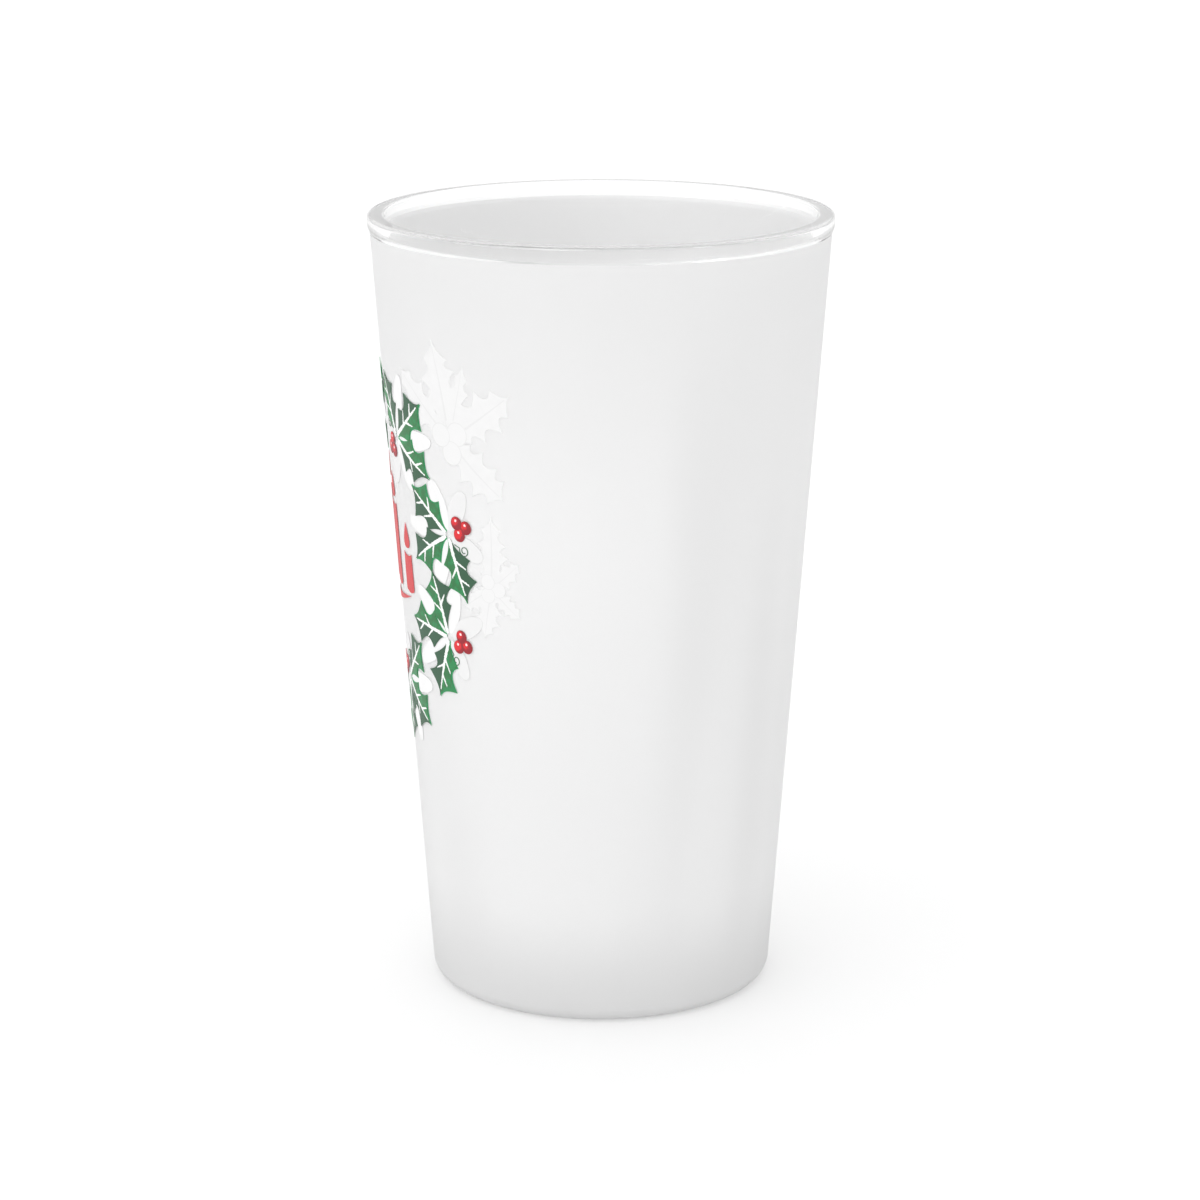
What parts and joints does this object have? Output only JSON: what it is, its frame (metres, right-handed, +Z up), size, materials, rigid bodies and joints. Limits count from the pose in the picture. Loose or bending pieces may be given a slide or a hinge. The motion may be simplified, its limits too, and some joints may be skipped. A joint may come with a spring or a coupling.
{
  "type": "pint glass",
  "caption": "Tapered glass tumbler with a clear lip band, a frosted lacquer on its outside, and a printed holly wreath round a row of candles.",
  "frame": {"origin": "centre of the foot, on the surface the glass stands on", "axes": "+Z up along the glass's axis, -Y towards the middle of the print, +X to the print's right"},
  "size_m": [0.088, 0.088, 0.15],
  "materials": {
    "clear_glass": "polished clear glass",
    "frosted_lacquer": "fine satin frost, pale cool grey-white",
    "white_ink": "opaque white printed ink, semi-matte",
    "green_ink": "dark and mid green printed inks, semi-matte",
    "red_ink": "red printed ink, semi-matte"
  },
  "bodies": {
    "root": {"glass_tumbler": "clear_glass", "frost_coating": "frosted_lacquer", "white_sprig_right_1": "white_ink", "white_sprig_left_1": "white_ink", "white_sprig_right_2": "white_ink", "white_sprig_left_2": "white_ink", "pale_leaves_1": "white_ink", "holly_leaves_1": "green_ink", "holly_berries_1": "red_ink", "pale_leaves_2": "white_ink", "holly_leaves_2": "green_ink", "holly_berries_2": "red_ink", "pale_leaves_3": "white_ink", "holly_leaves_3": "green_ink", "holly_berries_3": "red_ink", "pale_leaves_4": "white_ink", "holly_leaves_4": "green_ink", "holly_berries_4": "red_ink", "pale_leaves_5": "white_ink", "holly_leaves_5": "green_ink", "holly_berries_5": "red_ink", "pale_leaves_6": "white_ink", "holly_leaves_6": "green_ink", "holly_berries_6": "red_ink", "pale_leaves_7": "white_ink", "holly_leaves_7": "green_ink", "holly_berries_7": "red_ink", "pale_leaves_8": "white_ink", "holly_leaves_8": "green_ink", "holly_berries_8": "red_ink", "pale_leaves_9": "white_ink", "holly_leaves_9": "green_ink", "holly_berries_9": "red_ink", "candle_1": "red_ink", "candle_flame_1": "red_ink", "candle_2": "red_ink", "candle_flame_2": "red_ink", "candle_3": "red_ink", "candle_flame_3": "red_ink", "candle_4": "red_ink", "candle_flame_4": "red_ink", "candle_5": "red_ink", "candle_flame_5": "red_ink", "candle_tray": "red_ink"}
  },
  "joints": []
}
